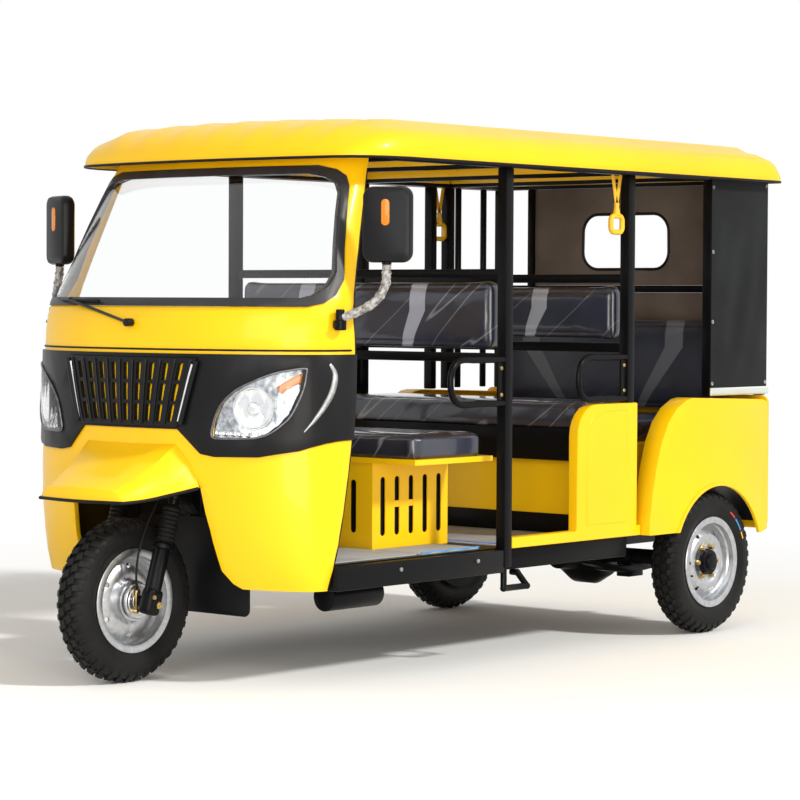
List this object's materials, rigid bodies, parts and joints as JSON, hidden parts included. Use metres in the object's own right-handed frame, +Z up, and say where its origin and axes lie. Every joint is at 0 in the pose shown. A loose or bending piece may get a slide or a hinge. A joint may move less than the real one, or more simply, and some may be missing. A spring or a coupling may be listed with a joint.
{
  "type": "passenger motor tricycle",
  "caption": "Open-sided three-wheeled passenger motor tricycle with a single steered front wheel, curved cab nose, ribbed roof shell, bench seats and a driven rear axle.",
  "frame": {"origin": "on the ground under the middle of the object's box", "axes": "+X to the vehicle's left, +Y to its rear, +Z up; the front wheel points along -Y"},
  "size_m": [1.6786, 3.08, 1.837],
  "materials": {
    "yellow_paint": "gloss",
    "black_paint": "satin",
    "black_plastic": "fine grain",
    "vinyl": "smooth vinyl",
    "canvas": "woven",
    "curtain": "coated cloth",
    "mat": "ribbed",
    "glass": "clear",
    "lens": "clear",
    "bowl": "polished",
    "rubber": "matt",
    "tyre": "matt",
    "rim": "silver",
    "arm": "satin",
    "red_lens": "clear red",
    "strap": "smooth",
    "cast": "as cast"
  },
  "bodies": {
    "body": {"chassis_frame": "black_paint", "neck": "black_paint", "floor_pan": "black_paint", "floor_mat": "mat", "sill_panels": "yellow_paint", "rear_wings": "yellow_paint", "rear_panel": "yellow_paint", "tail_lamps": "red_lens", "cab_nose": "yellow_paint", "cab_upper": "yellow_paint", "nose_mask": "black_plastic", "grille": "black_plastic", "headlamp_lenses": "lens", "headlamp_bowls": "bowl", "front_mudguard": "yellow_paint", "splash_guard": "black_plastic", "windscreen": "glass", "windscreen_seal": "rubber", "wiper": "black_plastic", "mirror_heads": "black_plastic", "mirror_arms": "arm", "roof_shell": "yellow_paint", "body_posts": "black_paint", "body_rails": "black_paint", "engine_box": "yellow_paint", "driver_cushion": "vinyl", "front_backrest": "vinyl", "middle_seat_frame": "black_paint", "middle_seat_riser": "yellow_paint", "middle_cushion": "vinyl", "middle_backrest": "vinyl", "rear_seat_base": "yellow_paint", "rear_cushion": "vinyl", "rear_backrest": "vinyl", "rear_curtain": "canvas", "side_curtain": "curtain", "grab_handles": "black_paint", "hand_straps": "strap", "rear_axle": "black_paint", "leaf_springs": "black_paint", "engine_block": "cast", "drive_shaft": "black_paint", "exhaust": "black_paint", "foot_steps": "black_paint"},
    "steering": {"front_fork": "black_paint", "fork_boots": "rubber", "handlebar": "black_paint"},
    "front_wheel": {"front_rim": "rim", "front_tyre": "tyre"},
    "rear_wheel_left": {"rear_rim_left": "rim", "rear_tyre_left": "tyre"},
    "rear_wheel_right": {"rear_rim_right": "rim", "rear_tyre_right": "tyre"}
  },
  "joints": [
    {"name": "steering_turn", "type": "hinge", "parent": "body", "child": "steering", "pos_m": [0, -1.24171, 0.25418], "axis": [0, 0.309, 0.9511], "range_deg": [-40, 40]},
    {"name": "front_wheel_spin", "type": "hinge", "parent": "steering", "child": "front_wheel", "pos_m": [0, -1.275, 0.265], "axis": [1, 0, 0], "continuous": true},
    {"name": "rear_wheel_left_spin", "type": "hinge", "parent": "body", "child": "rear_wheel_left", "pos_m": [0.61, 1.125, 0.265], "axis": [1, 0, 0], "continuous": true},
    {"name": "rear_wheel_right_spin", "type": "hinge", "parent": "body", "child": "rear_wheel_right", "pos_m": [-0.61, 1.125, 0.265], "axis": [1, 0, 0], "continuous": true}
  ]
}
